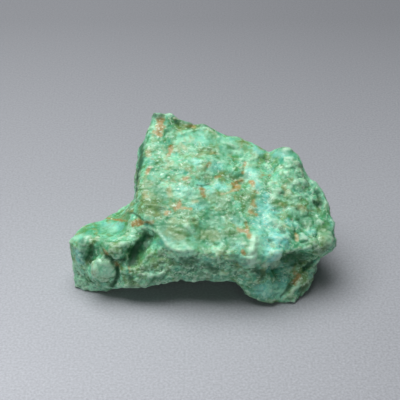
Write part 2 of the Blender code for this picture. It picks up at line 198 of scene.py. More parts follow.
# Stains and stone of other colours, seen in the photograph. Each holds a half width in pixels, a
# strength, and the pixels that it runs through.
RUST = [
    (4.6, 1.0, (161, 120, 161, 127, 158, 133)), (2.4, 0.9, (171, 146, 170, 153, 168, 156)),
    (3.4, 0.6, (148, 151, 149, 155)), (2.6, 0.9, (150, 168, 147, 173)), (2.8, 0.8, (184, 179, 190, 178)),
    (4.4, 1.0, (237, 183, 235, 188)), (3.0, 0.8, (240, 181, 242, 180)), (2.8, 0.9, (251, 182, 253, 186)),
    (1.8, 0.9, (245, 163, 244, 168, 243, 173)), (3.2, 0.8, (203, 190, 203, 195)),
    (2.6, 0.5, (193, 202, 197, 201)), (4.0, 1.0, (177, 207, 179, 204)), (2.2, 0.8, (182, 208, 190, 209)),
    (2.4, 0.8, (165, 214, 170, 212)), (3.8, 1.0, (134, 223, 141, 223)), (2.0, 0.7, (145, 222, 153, 222)),
    (1.4, 0.9, (107, 218, 113, 219, 127, 221)), (3.0, 0.45, (143, 194, 147, 197)),
    (3.4, 0.5, (169, 189, 170, 194)), (2.8, 0.6, (246, 222, 247, 228)), (3.2, 0.95, (246, 231, 249, 236)),
    (2.6, 0.7, (238, 229, 242, 231)), (2.6, 0.9, (243, 251, 244, 254)), (3.2, 0.7, (253, 201, 254, 205)),
    (3.2, 0.7, (251, 212, 255, 214)), (1.8, 0.6, (254, 191, 259, 193)),
    (1.6, 0.6, (221, 194, 227, 193, 232, 191)), (2.4, 0.7, (296, 234, 297, 240)),
    (3.6, 0.95, (293, 283, 298, 278)), (2.8, 0.7, (294, 270, 295, 274)), (4.0, 0.5, (300, 205, 308, 211)),
    (1.2, 0.7, (262, 175, 270, 175)), (3.2, 0.5, (284, 186, 285, 190)), (2.4, 0.8, (103, 250, 107, 254)),
    (2.4, 0.8, (116, 263, 118, 267)), (1.8, 0.7, (129, 267, 130, 272)), (3.2, 0.45, (181, 145, 184, 148)),
    (2.0, 0.6, (207, 166, 210, 163)), (2.6, 0.5, (211, 154, 216, 153)), (2.6, 0.7, (185, 126, 193, 126)),
    (2.0, 0.7, (174, 118, 180, 119)), (2.0, 0.6, (215, 177, 220, 176)), (4.0, 0.35, (178, 150, 186, 158)),
    (2.4, 0.45, (128, 210, 132, 212)),
]
GREEN = [
    (10.0, 1.0, (164, 228, 184, 236)), (9.0, 1.0, (200, 232, 216, 236)), (10.0, 1.0, (228, 236, 246, 238)),
    (7.0, 0.8, (156, 186, 162, 196)), (6.0, 0.7, (214, 198, 222, 202)), (6.0, 0.6, (196, 196, 204, 203)),
    (9.0, 0.8, (208, 216, 222, 226)), (10.0, 1.0, (304, 218, 332, 234)), (7.0, 1.0, (296, 236, 303, 242)),
    (6.0, 0.8, (84, 244, 86, 256)), (6.0, 0.8, (140, 256, 150, 262)), (7.0, 0.7, (218, 200, 222, 206)),
    (7.0, 0.7, (100, 243, 124, 249)), (6.0, 0.7, (281, 148, 291, 152)), (6.0, 0.7, (188, 243, 204, 246)),
    (5.0, 0.6, (100, 226, 112, 234)), (7.0, 0.6, (238, 176, 244, 180)), (6.0, 0.5, (148, 180, 156, 186)),
    (9.0, 0.6, (318, 206, 330, 222)), (6.0, 0.6, (232, 214, 240, 220)), (5.0, 0.5, (188, 216, 196, 228)),
]
OLIVE = [
    (11.0, 0.9, (144, 205, 154, 210)), (6.0, 0.7, (141, 186, 142, 192)), (4.0, 0.9, (138, 178, 137, 196)),
    (5.5, 1.0, (178, 126, 196, 126)), (6.5, 0.8, (204, 151, 215, 152)), (5.0, 0.5, (198, 174, 203, 178)),
    (8.0, 0.6, (245, 196, 248, 203)), (5.0, 0.7, (252, 200, 253, 214)), (8.0, 0.45, (218, 198, 226, 202)),
    (7.0, 0.7, (172, 230, 182, 234)), (5.0, 0.7, (176, 222, 196, 221)), (7.0, 0.7, (205, 234, 213, 236)),
    (5.0, 0.6, (228, 232, 238, 230)), (6.5, 0.6, (274, 198, 277, 203)), (9.0, 0.55, (290, 198, 300, 206)),
    (6.0, 0.3, (304, 203, 312, 212)), (6.0, 0.5, (322, 228, 322, 246)), (6.5, 0.7, (260, 160, 266, 159)),
    (8.0, 0.8, (136, 262, 142, 270)), (9.0, 0.7, (155, 261, 166, 262)), (7.0, 0.9, (300, 272, 304, 280)),
    (6.0, 0.8, (303, 288, 307, 284)), (6.0, 0.9, (127, 285, 134, 284)), (4.0, 0.7, (242, 142, 248, 144)),
    (5.0, 0.7, (316, 202, 318, 208)), (5.0, 0.7, (222, 175, 232, 178)), (6.0, 0.6, (116, 243, 112, 250)),
    (6.0, 0.6, (120, 217, 128, 216)), (5.0, 0.5, (178, 212, 190, 213)), (4.0, 0.7, (146, 181, 150, 184)),
    (5.0, 0.6, (290, 288, 292, 300)), (7.0, 0.6, (79, 282, 88, 284)), (4.0, 0.5, (232, 186, 228, 192)),
]
BLUE = [
    (9.0, 1.0, (274, 236, 283, 242)), (6.0, 0.8, (266, 196, 267, 206)), (7.0, 0.85, (260, 219, 266, 224)),
    (5.0, 0.6, (289, 222, 297, 226)), (5.0, 0.8, (301, 237, 304, 238)), (4.5, 0.8, (312, 231, 313, 233)),
    (3.6, 0.9, (273, 209, 275, 212)), (7.0, 0.7, (250, 172, 255, 174)), (4.4, 0.8, (256, 182, 258, 187)),
    (5.0, 0.8, (256, 149, 259, 153)), (6.0, 0.7, (213, 168, 220, 166)), (6.0, 0.55, (197, 208, 204, 205)),
    (4.0, 0.6, (195, 160, 199, 162)), (4.0, 0.7, (160, 209, 163, 211)), (5.0, 0.6, (117, 225, 122, 227)),
    (5.0, 0.5, (104, 225, 110, 226)), (6.0, 0.6, (202, 185, 210, 190)), (5.0, 0.7, (219, 186, 225, 188)),
    (6.0, 0.7, (276, 153, 290, 152)), (6.0, 0.7, (237, 242, 241, 245)), (4.0, 0.7, (234, 220, 238, 224)),
    (5.0, 0.4, (104, 268, 112, 272)), (7.0, 0.8, (79, 254, 80, 260)), (8.0, 0.7, (282, 278, 286, 284)),
    (10.0, 0.7, (260, 291, 276, 290)), (7.0, 0.6, (280, 269, 286, 268)), (4.0, 0.8, (333, 218, 334, 226)),
    (7.0, 0.8, (262, 242, 268, 250)), (9.0, 0.7, (268, 212, 270, 228)), (8.0, 0.8, (258, 205, 262, 232)),
    (7.0, 1.0, (268, 266, 278, 254)), (6.0, 0.5, (241, 259, 250, 262)), (5.0, 0.5, (163, 234, 168, 240)),
    (6.0, 0.6, (180, 190, 188, 192)), (5.0, 0.6, (287, 232, 290, 238)), (8.0, 0.3, (200, 137, 208, 140)),
]
# Dark green in clefts and cracks: partly dark stone, partly painted shade deeper than the relief casts.
DEEP_STONE_AND_PAINTED_SHADE = [
    (8.0, 1.0, (145, 240, 140, 245, 134, 251)), (6.0, 1.0, (134, 256, 132, 262)),
    (5.0, 0.15, (232, 178, 242, 176)), (6.0, 0.7, (91, 249, 89, 258)),
    (2.6, 1.0, (106, 257, 112, 260, 124, 260)), (8.0, 0.7, (290, 259, 302, 256)),
    (5.0, 0.7, (183, 261, 196, 261)), (3.6, 1.0, (316, 203, 319, 205)), (3.4, 0.7, (282, 229, 284, 232)),
    (3.0, 1.0, (117, 268, 118, 277, 112, 286)), (2.6, 1.0, (312, 262, 304, 268)),
    (2.4, 0.8, (292, 283, 287, 290)), (5.0, 0.7, (256, 270, 262, 276)), (4.0, 0.6, (98, 246, 102, 252)),
    (3.0, 0.6, (195, 124, 208, 126)), (5.0, 0.85, (142, 135, 141, 158, 138, 176, 136, 194)),
    (4.0, 0.5, (162, 277, 152, 281)), (4.0, 0.6, (317, 193, 320, 199)), (5.0, 0.5, (82, 243, 84, 250)),
    (3.6, 0.7, (154, 115, 161, 116)), (3.0, 0.6, (176, 121, 198, 124)), (4.0, 0.6, (300, 290, 306, 286)),
    (4.0, 0.6, (130, 277, 132, 286)), (0.9, 0.85, (128, 213, 133, 213, 138, 216, 143, 220)),
    (1.0, 0.8, (197, 185, 203, 186, 209, 184)), (5.0, 0.5, (231, 259, 244, 263)),
    (4.0, 0.5, (207, 264, 214, 270)),
]
# Pale stone, and pale patches painted where faces are lit, such as the knuckle's top, the lobe's lower rim
# and the right knob: partly painted light.
PALE_STONE_AND_PAINTED_LIGHT = [
    (4.0, 0.8, (153, 121, 151, 127)), (5.0, 0.7, (224, 141, 232, 143)), (4.5, 0.8, (248, 161, 256, 159)),
    (5.5, 0.7, (271, 219, 276, 225)), (7.0, 1.0, (254, 238, 258, 246)), (4.0, 0.8, (253, 256, 253, 262)),
    (6.0, 0.5, (104, 229, 112, 229)), (5.0, 0.6, (126, 230, 131, 232)), (5.0, 0.6, (168, 246, 176, 249)),
    (7.0, 0.5, (182, 195, 190, 196)), (5.0, 0.5, (213, 160, 224, 162)), (4.5, 0.7, (305, 195, 311, 199)),
    (4.0, 0.6, (301, 174, 303, 180)), (4.0, 0.6, (291, 159, 295, 163)), (4.0, 0.5, (290, 184, 291, 194)),
    (5.0, 0.5, (180, 142, 186, 143)), (5.0, 0.45, (153, 150, 164, 150)), (4.0, 0.6, (147, 145, 148, 149)),
    (7.0, 0.4, (78, 236, 88, 236)), (4.0, 0.6, (108, 275, 113, 274)), (5.0, 0.6, (146, 275, 162, 272)),
    (5.0, 0.5, (188, 224, 192, 232)), (6.0, 0.45, (184, 245, 194, 248)), (5.0, 0.4, (207, 246, 216, 250)),
    (4.0, 0.5, (294, 290, 298, 285)), (4.0, 0.3, (322, 234, 328, 239)), (5.0, 0.5, (259, 228, 266, 231)),
    (6.0, 0.45, (206, 158, 204, 166)), (5.0, 0.5, (170, 188, 172, 192)), (4.0, 0.6, (160, 254, 167, 255)),
    (7.0, 0.7, (306, 174, 312, 188)), (5.0, 0.6, (166, 128, 172, 138)), (5.0, 0.7, (146, 228, 154, 232)),
    (7.0, 0.9, (220, 150, 234, 149)), (8.0, 0.7, (206, 164, 208, 178)), (7.0, 1.0, (294, 162, 301, 186)),
    (6.0, 0.8, (295, 198, 297, 214)), (8.0, 1.0, (100, 262, 112, 272)), (8.0, 0.9, (76, 266, 80, 283)),
    (6.0, 1.0, (84, 286, 104, 288, 126, 287)), (7.0, 1.0, (251, 246, 255, 260)),
    (6.0, 0.8, (176, 254, 192, 256)), (6.0, 0.8, (272, 290, 290, 298)), (5.0, 0.7, (224, 280, 238, 284)),
    (5.0, 0.8, (228, 142, 236, 147)), (5.0, 0.5, (186, 146, 192, 152)), (6.0, 0.5, (262, 176, 268, 184)),
    (5.0, 0.5, (146, 284, 166, 282)), (6.0, 0.4, (252, 165, 258, 178)), (4.0, 0.5, (275, 194, 280, 192)),
    (7.0, 0.3, (190, 136, 214, 140)),
]
GREY = [
    (9.0, 0.8, (178, 270, 196, 272, 214, 270)), (6.0, 0.8, (180, 280, 196, 280, 212, 276, 230, 282)),
    (6.0, 0.7, (142, 284, 152, 286, 166, 283)), (8.0, 0.5, (205, 260, 228, 268, 244, 276)),
    (5.0, 0.7, (318, 250, 328, 252)), (4.0, 0.5, (226, 133, 214, 127)), (6.0, 0.5, (284, 256, 294, 252)),
    (5.0, 0.5, (92, 281, 100, 283)), (5.0, 0.4, (330, 240, 332, 230)), (7.0, 0.6, (322, 242, 327, 248)),
]

# Clear, waxy stone with little relief and few flecks.
SMOOTH = [
    (11.0, 1.0, (184, 138, 196, 136, 208, 136, 220, 144, 232, 146)), (8.0, 0.9, (242, 150, 256, 150)),
    (13.0, 1.0, (78, 236, 90, 230, 104, 226, 120, 226)), (8.0, 0.8, (74, 250, 76, 262)),
    (9.0, 0.7, (160, 236, 172, 246, 196, 246)), (10.0, 0.6, (256, 244, 266, 262)),
    (9.0, 0.7, (325, 238, 328, 240)), (8.0, 0.7, (276, 152, 292, 154)), (8.0, 0.7, (100, 268, 110, 272)),
    (10.0, 0.6, (262, 292, 280, 292)),
]

# The skin: the size of its cells, the rounds that relax them, how far crests, grooves and nodules spread
# beyond their half width, how ragged their edges are, and how much of a mark's height is used.
SKIN_CELL = 0.214
RELAX_ROUNDS = 3
MARK_SPREAD, MARK_RAGGED, MARK_SHARE = 1.15, 0.15, 0.6
NODULE_SPREAD, NODULE_RAGGED = 1.1, 0.3

# Crests and grooves are broken: this share of the height is left where the noise is low.
BROKEN_LEFT, BROKEN_BETWEEN = 0.4, (-0.25, 0.3)

# The point of the front foot is worn round, fully within the first distance and less up to the second.
TOE = Vector((15.0, -13.3, 0.6))
TOE_WORN, TOE_REACH, TOE_ROUNDS = 1.0, 2.6, 60

# The broad face leans back and turns a little, and what lies along it is drawn out by the stretch.
FACE_LEAN, FACE_TURN, FACE_STRETCH = math.radians(33.0), math.radians(-8.0), 1.7

# Where the skin is rougher: between these places across the stone its right end becomes nodular, and
# between these parts of the normal a face is a broken one that looks forwards or down. Skin that is worn
# smooth loses the last share of its relief.
NODULAR_END = (6.0, 13.0)
BROKEN_FRONT, BROKEN_BELOW = (0.62, 0.88), (-0.5, -0.1)
SMOOTH_LOSS = 0.75

# Relief in the order in which it is pushed in: the setting with its height, the kind of texture and the
# size of its swells, whether they are drawn out along the face, where it is strongest, its share of the
# height elsewhere, and the texture's settings. A negative weight turns the pits of the knobs into domes.
RELIEF = [
    ("swell", "CLOUDS", 1.7, True, None, 1.0, {"noise_depth": 2, "noise_basis": "ORIGINAL_PERLIN"}),
    ("wrinkle", "CLOUDS", 0.8, True, "broken", 0.45, {"noise_depth": 2}),
    ("knob", "VORONOI", 1.9, False, "nodular", 0.15, {"weight_1": -1.0, "color_mode": "INTENSITY"}),
    ("crumb", "CLOUDS", 0.7, False, "broken", 0.32, {"noise_depth": 2}),
]

# How pale crests and dark hollows show: the heights between which they appear and their strength, for
# the small relief, the large relief and the marks. The pale on crests is partly wear and partly a painted
# highlight, and the dark in hollows is painted shade. Relief is what stands out of the surface smoothed by
# a few rounds for the small, and by more for the large.
SMALL_ROUNDS, LARGE_ROUNDS = 3, 20
CREST_LOOKS = ((0.012, 0.06, 0.18), (0.05, 0.25, 0.22), (0.03, 0.13, 0.45))
HOLLOW_LOOKS = ((0.008, 0.06, 0.35), (0.04, 0.25, 0.50), (0.05, 0.30, 0.70))
CREST_MOST, HOLLOW_DARKNESS = 0.75, 0.6

# Both show more at the nodular end and on faces that look down, by these shares, so the painted shade of
# the hollows is darker on faces that look down.
SHOWN_END, SHOWN_BELOW = (8.0, 14.0), (-0.6, -0.1)
CREST_MORE, HOLLOW_MORE = 0.3, 0.7

# Noise in the stone's colour: swells per millimetre, detail, roughness, and whether it is drawn out
# along the face. The finest are drawn coarser than real grains, so that they show.
NOISES = {
    "patches": (0.30, 2.0, 0.55, False),
    "mottle": (0.75, 3.0, 0.55, False),
    "veil": (0.85, 4.0, 0.60, True),
    "flecks": (2.8, 2.0, 0.60, False),
    "clusters": (0.55, 2.0, 0.55, False),
    "warmth": (0.62, 3.0, 0.60, False),
    "specks": (5.2, 1.0, 0.55, False),
    "streaks": (2.3, 2.0, 0.50, True),
    "crumbs": (2.4, 4.0, 0.65, False),
    "dust": (7.0, 2.0, 0.55, False),
}
DRIFT_SCALE, DRIFT_REACH = 0.7, 0.9
ALONG_FACE = (0.6, 1.1, 1.1)

# What is painted on the skin, by name. The deep and pale stains are partly painted shade and painted
# light. Pale grain shows where it is rough, and green stone is less so.
STAINS = {"green": GREEN, "olive": OLIVE, "blue": BLUE, "deep": DEEP_STONE_AND_PAINTED_SHADE, "pale": PALE_STONE_AND_PAINTED_LIGHT, "grey": GREY}
RUST_EDGES = {"softness": 1.0, "ragged": 0.6, "spread": 1.7}
GREEN_SMOOTHNESS = 0.7
PAINTED = ("rust", *STAINS, "crest", "hollow", "rough")
COLOURS = ("mint", "green", "emerald", "leaf", "teal", "blue", "olive", "rust", "brown", "ochre")
COLOURS += ("light", "pale", "deep", "grey")

# Sums that rust and sheen are made from: a name, the operation, and two numbers or names.
STONE_SUMS = [
    ("both_grains", "ADD", "flecks", "veil"),
    ("grainy", "MULTIPLY", "both_grains", 0.5),
    ("halo_rust", "MULTIPLY", "rust", 0.75),
    ("halo_grain", "SUBTRACT", "grainy", 0.5),
    ("halo", "ADD", "halo_rust", "halo_grain"),
    ("core_rust", "MULTIPLY", "rust", 0.9),
    ("core_gaps", "SUBTRACT", 0.62, "grainy"),
    ("core_grain", "MULTIPLY", "core_gaps", 2.0),
    ("core", "ADD", "core_rust", "core_grain"),
    ("dull_clefts", "MULTIPLY", "deep", 0.4),
    ("dullness", "ADD", "dull_clefts", "flecks"),
]

# Layers of colour, from the lowest. Each lies where all its masks are strong. A mask is a name, the two
# values between which it changes, and its strength at both of them, or the name alone.
IRON_LAYERS = [("rust", [("flecks", 0.40, 0.58, 0.0, 1.0)])]
STONE_LAYERS = [
    ("mint", [("patches", 0.38, 0.60, 0.0, 1.0)]),
    ("leaf", [("mottle", 0.48, 0.62, 0.0, 0.9)]),
    ("teal", [("mottle", 0.46, 0.34, 0.0, 0.45)]),
    ("ochre", [("warmth", 0.50, 0.66, 0.0, 0.50)]),
    ("grey", ["grey", ("mottle", 0.3, 0.6, 0.0, 1.0)]),
    ("blue", ["blue", ("veil", 0.30, 0.60, 0.55, 1.0)]),
    ("emerald", ["green", ("veil", 0.30, 0.60, 0.6, 1.0)]),
    ("olive", ["olive", ("veil", 0.30, 0.65, 0.7, 1.0)]),
    # Light mint over the pale patches: partly pale stone, partly painted light.
    ("light", ["pale", ("veil", 0.35, 0.62, 0.3, 1.0)]),
    ("light", ["rough", ("veil", 0.52, 0.66, 0.0, 0.65)]),
    # Painted shade: deep green laid into the hollows.
    ("deep", ["hollow"]),
    ("ochre", [("halo", 0.0, 0.6, 0.0, 0.8), ("rust", 0.0, 0.3, 0.0, 1.0)]),
    ("iron", [("core", 0.6, 1.2, 0.0, 0.85), ("rust", 0.15, 0.75, 0.0, 1.0)]),
    ("pale", ["rough", ("clusters", 0.44, 0.62, 0.0, 1.0), ("flecks", 0.55, 0.68, 0.0, 0.7)]),
    ("pale", ["rough", ("streaks", 0.60, 0.70, 0.0, 0.75)]),
    ("leaf", ["rough", ("specks", 0.42, 0.28, 0.0, 0.55)]),
    # Pale on the crests: partly wear, partly a painted highlight.
    ("pale", ["crest"]),
    # Deep green in the clefts: partly dark stone, partly painted shade.
    ("deep", ["deep"]),
]
ROUGHNESS = [("dullness", 0.25, 0.9, 0.24, 0.56)]

# Fine grain: the noise, its strength and its depth in millimetres.
BUMPS = [("crumbs", 0.55, 0.18), ("dust", 0.35, 0.06)]

# The inputs of a Map Range node, in the order in which the tables give them, and a Mix node's colour
# inputs and colour output, which share their names with others for numbers and vectors.
RANGE_INPUTS = ("Value", "From Min", "From Max", "To Min", "To Max")
MIX_UNDER, MIX_OVER, MIX_COLOUR = 6, 7, 2
BLACK = (0.0, 0.0, 0.0, 1.0)

# The floor: places in metres across and into the picture, or the tooth's own values, and the shares of
# the floor's colour there. The depth, front and side shares are painted light: the colour is paler in front
# and to the left, standing in for the light's falloff. The tooth is drawn coarser than that of real card,
# so that it shows.
FLOOR_METRES = 1.6
FLOOR_TOOTH_SCALE = 2600.0
FLOOR_RANGES = {
    "depth_shade": ("Y", -0.030, 0.091, 0.795, 0.437),
    "in_front": ("Y", -0.030, 0.020, 1.0, 0.15),
    "side_shade": ("X", -0.030, 0.030, 0.09, -0.09),
    "coarseness": ("Y", -0.030, 0.080, 1.0, 0.35),
    "grain": ("tooth", 0.25, 0.75, -0.11, 0.11),
}
FLOOR_SUMS = [
    ("front_side", "MULTIPLY", "in_front", "side_shade"),
    ("smooth_shade", "ADD", "depth_shade", "front_side"),
    ("seen_grain", "MULTIPLY", "coarseness", "grain"),
    ("shade", "ADD", "smooth_shade", "seen_grain"),
]

# Lights: name, place and size in metres, and power in watts at a key light of 1.
LIGHTS = [
    ("key_softbox", (-0.074, 0.048, 0.30), 0.28, 1.32),
    ("front_fill", (-0.060, -0.420, 0.200), 0.30, 0.24),
]
LIT_POINT = Vector((0.0, 0.0, 0.01))
SKY_COLOUR, SKY_STRENGTH = "#e9edf3", 0.04


def linear(hex_colour):
    """An sRGB hex colour as the linear colour that shaders take."""
    parts = [int(hex_colour[i : i + 2], 16) / 255.0 for i in (1, 3, 5)]
    return tuple(p / 12.92 if p <= 0.04045 else ((p + 0.055) / 1.055) ** 2.4 for p in parts)


def colour_setting(name, description, hex_colour):
    return bpy.props.FloatVectorProperty(
        name=name, description=description, default=linear(hex_colour), subtype="COLOR",
        size=3, min=0.0, max=1.0,
    )


def height_setting(name, description, height):
    return bpy.props.FloatProperty(
        name=name, description=description, default=height * MM, min=0.0, max=MM, unit="LENGTH"
    )


class StoneSettings(bpy.types.PropertyGroup):
    """Colours and relief of the stone."""

    mint: colour_setting("Mint", "Weathered turquoise over most of the stone", "#83dcb0")
    green: colour_setting("Green", "Denser green turquoise between the mint", "#4fae7c")
    emerald: colour_setting("Emerald", "Clear patches of dense green", "#489a6c")
    leaf: colour_setting("Leaf green", "Patches with more iron in them", "#559b54")
    teal: colour_setting("Teal", "Blue-green turquoise mottled through the green", "#48bda8")
    blue: colour_setting("Blue", "The least weathered, bluest turquoise", "#84e2d6")
    olive: colour_setting("Olive", "Iron-rich yellow green", "#6d8c38")
    rust: colour_setting("Rust", "Iron oxide in pits and pockets", "#bd8e4e")
    brown: colour_setting("Brown", "Darker iron oxide in the middle of the pockets", "#94763c")
    ochre: colour_setting("Ochre", "Thin iron stain around the rust", "#a6a05a")
    # Light mint is also laid over the pale patches, where it is partly painted light.
    light: colour_setting("Light mint", "Thin chalky veils over the turquoise", "#a2e8c2")
    # Pale is laid on the crests, where it is partly wear and partly a painted highlight, and on the rough
    # skin's grain.
    pale: colour_setting("Pale crest", "Worn crests and chalky skin", "#d6f5da")
    # Deep green is painted shade in the hollows, and partly dark stone, partly painted shade in the clefts.
    deep: colour_setting("Deep green", "Dark stone in clefts", "#1c5f3a")
    grey: colour_setting("Grey", "Host rock left on the underside", "#6aa082")
    swell: height_setting("Swell height", "Height of the broad swells", 0.60)
    wrinkle: height_setting("Wrinkle height", "Height of the wrinkles on the broken faces", 0.50)
    knob: height_setting("Knob height", "Height of the small knobs at the right end", 0.34)
    crumb: height_setting("Crumb height", "Height of the crumbs on the rough faces", 0.52)
    translucency: bpy.props.FloatProperty(
        name="Translucency", description="How much light sinks into the waxy stone",
        default=0.4, min=0.0, max=1.0, subtype="FACTOR",
    )


class StageSettings(bpy.types.PropertyGroup):
    """The floor and the light."""

    floor: colour_setting("Floor", "Pale grey studio floor, where the light is brightest", "#c2c5cc")
    key_power: bpy.props.FloatProperty(
        name="Key light", description="Power of the lights, as a share of the usual power",
        default=1.0, min=0.0, subtype="FACTOR",
    )


def deselect_all():
    for other in bpy.context.view_layer.objects:
        other.select_set(False)


def activate(obj):
    """Deselects everything, then selects this object alone."""
    deselect_all()
    obj.select_set(True)
    bpy.context.view_layer.objects.active = obj


def apply_modifier(obj, name, kind, **settings):
    """Adds a modifier with its settings and applies it."""
    activate(obj)
    added = obj.modifiers.new(name, kind)
    for key, value in settings.items():
        setattr(added, key, value)
    bpy.ops.object.modifier_apply(modifier=added.name)


def camera_axes():
    """The camera's place in millimetres, and its forward, right and up directions."""
    back = Vector((0.0, -math.cos(CAMERA_HEIGHT_ANGLE), math.sin(CAMERA_HEIGHT_ANGLE)))
    forward = -back
    right = Vector((1.0, 0.0, 0.0))
    return CAMERA_AIM + back * CAMERA_DISTANCE, forward, right, right.cross(forward)


def ray_through(x, y):
    """Where a pixel of the photograph looks from and to."""
    place, forward, right, up = camera_axes()
    focal = PHOTO_SIZE * LENS / SENSOR
    middle = PHOTO_SIZE / 2
    return place, (forward + right * ((x - middle) / focal) + up * ((middle - y) / focal)).normalized()


class Skin:
    """The stone's points and normals in millimetres, and how marks find their place on them."""

    def __init__(self, obj):
        self.obj = obj
        mesh = obj.data
        count = len(mesh.vertices)
        self.points = self.read(mesh.vertices, "co", count * 3).reshape(-1, 3) / MM
        edges = np.empty(len(mesh.edges) * 2, np.int32)
        mesh.edges.foreach_get("vertices", edges)
        self.edges = edges.reshape(-1, 2)
        self.degree = np.bincount(self.edges.ravel(), minlength=count)
        self.refresh()
        self.tree = BVHTree.FromPolygons(
            [tuple(p) for p in self.points], [tuple(f.vertices) for f in mesh.polygons]
        )
        coarse, fine = self.noise(0.9, 0.0), self.noise(0.35, 5.0)
        self.ragged = 0.7 * coarse + 0.5 * fine

    @staticmethod
    def read(items, name, size):
        values = np.empty(size, np.float32)
        items.foreach_get(name, values)
        return values.astype(float)

    def refresh(self):
        """Writes the points to the mesh and reads the new normals."""
        mesh = self.obj.data
        mesh.vertices.foreach_set("co", (self.points * MM).astype(np.float32).ravel())
        mesh.update()
        self.normals = self.read(mesh.vertices, "normal", len(mesh.vertices) * 3).reshape(-1, 3)

    def noise(self, size, shift):
        """Smooth noise at every point, between -1 and 1, with swells of the size given."""
        offset = Vector((shift, shift * 0.7, -shift))
        return np.array([noise.noise(Vector(p) / size + offset) for p in self.points])

    def push(self, heights):
        self.points += self.normals * heights[:, None]
        self.refresh()

    def mean_of_neighbours(self, values):
        total = np.zeros_like(values)
        first, second = self.edges.T
        for column in range(values.shape[1]):
            total[:, column] = np.bincount(first, values[second, column], len(values))
            total[:, column] += np.bincount(second, values[first, column], len(values))
        return total / self.degree[:, None]

    def stand_out(self, rounds):
        """How far each point stands out of the surface smoothed by some rounds, in millimetres."""
        smooth = self.points.copy()
        for _ in range(rounds):
            smooth = self.mean_of_neighbours(smooth)
        return np.einsum("ij,ij->i", self.points - smooth, self.normals)

    def hit(self, x, y):
        """The point of the stone that shows at a pixel of the photograph, or None."""
        place, direction = ray_through(x, y)
        found = self.tree.ray_cast(place, direction)[0]
        return None if found is None else np.array(found)

    def line_through(self, pixels, step=2.0):
        """The line on the stone that shows along the given pixels, found every few pixels."""
        pixels = np.array(pixels, float).reshape(-1, 2)
        line = []
        for start, end in zip(pixels, pixels[1:]):
            steps = max(1, int(np.linalg.norm(end - start) / step))
            line += [self.hit(*(start + (end - start) * i / steps)) for i in range(steps)]
        line.append(self.hit(*pixels[-1]))
        return [p for p in line if p is not None]

    def near(self, line, reach, ragged=0.0, spare=1.4, longest=2.0):
        """The points within reach of a line, and their distance from it as a share of the reach.
        A step over the longest is a jump from a front edge to what lies behind it, and is left out."""
        line = np.array(line)
        low, high = line.min(axis=0) - reach * spare, line.max(axis=0) + reach * spare
        inside = np.nonzero(np.all((self.points > low) & (self.points < high), axis=1))[0]
        points = self.points[inside]
        nearest = np.linalg.norm(points - line[0], axis=1)
        for start, end in zip(line, line[1:]):
            along = end - start
            length_squared = along @ along
            if length_squared < 1e-9 or length_squared > longest**2:
                continue
            share = np.clip((points - start) @ along / length_squared, 0.0, 1.0)
            nearest = np.minimum(nearest, np.linalg.norm(points - start - share[:, None] * along, axis=1))
        share = nearest / reach + ragged * self.ragged[inside]
        keep = share < 1.0
        return inside[keep], np.clip(share[keep], 0.0, 1.0)


def smooth_step(values, low, high):
    share = np.clip((values - low) / (high - low), 0.0, 1.0)
    return share * share * (3.0 - 2.0 * share)


def marks_height(skin, marks):
    """The height of a list of crests, or the depth of a list of grooves, at each point."""
    heights = np.zeros(len(skin.points))
    for half_width, height, pixels in marks:
        line = skin.line_through(pixels)
        if not line:
            continue
        found, share = skin.near(line, MARK_SPREAD * half_width / PIXELS_PER_MM, MARK_RAGGED)
        broken = BROKEN_LEFT + (1.0 - BROKEN_LEFT) * smooth_step(skin.ragged[found], *BROKEN_BETWEEN)
        added = MARK_SHARE * height * broken * (1.0 - share**2) ** 2
        heights[found] = np.maximum(heights[found], added)
    return heights


def painted(skin, marks, softness=0.75, ragged=0.5, spread=1.4):
    """How strongly a list of stains covers each point, from 0 to 1."""
    cover = np.zeros(len(skin.points))
    for half_width, strength, pixels in marks:
        line = skin.line_through(pixels)
        if not line:
            continue
        found, share = skin.near(line, half_width * spread / PIXELS_PER_MM, ragged)
        cover[found] = np.maximum(cover[found], strength * (1.0 - smooth_step(share, 1.0 - softness, 1.0)))
    return cover


def showing(heights, looks):
    """How strongly small relief, large relief and marks show together, from their heights."""
    small, large, marks = (
        smooth_step(height, low, high) * strength for height, (low, high, strength) in zip(heights, looks)
    )
    return np.maximum(small + large, marks)


def store(obj, name, values):
    made = obj.data.attributes.new(name, "FLOAT", "POINT")
    made.data.foreach_set("value", np.asarray(values, np.float32))


def weight_group(obj, name, weights, levels=20):
    """A vertex group that tells a modifier where to act."""
    group = obj.vertex_groups.new(name=name)
    nearest = np.round(np.clip(weights, 0.0, 1.0) * levels).astype(int)
    for level in range(1, levels + 1):
        group.add(np.nonzero(nearest == level)[0].tolist(), level / levels, "REPLACE")
    return group.name


def relief_texture(name, kind, size, settings):
    made = bpy.data.textures.new(name, kind)
    made.noise_scale = size * MM
    for key, value in settings.items():
        setattr(made, key, value)
    return made


def add_node(tree, kind, inputs=None, **settings):
    """Adds a node with its settings. An input that is given a socket is linked to it."""
    node = tree.nodes.new(kind)
    for key, value in settings.items():
        setattr(node, key, value)
    for key, value in (inputs or {}).items():
        if isinstance(value, bpy.types.NodeSocket):
            tree.links.new(value, node.inputs[key])
        else:
            node.inputs[key].default_value = value
    return node


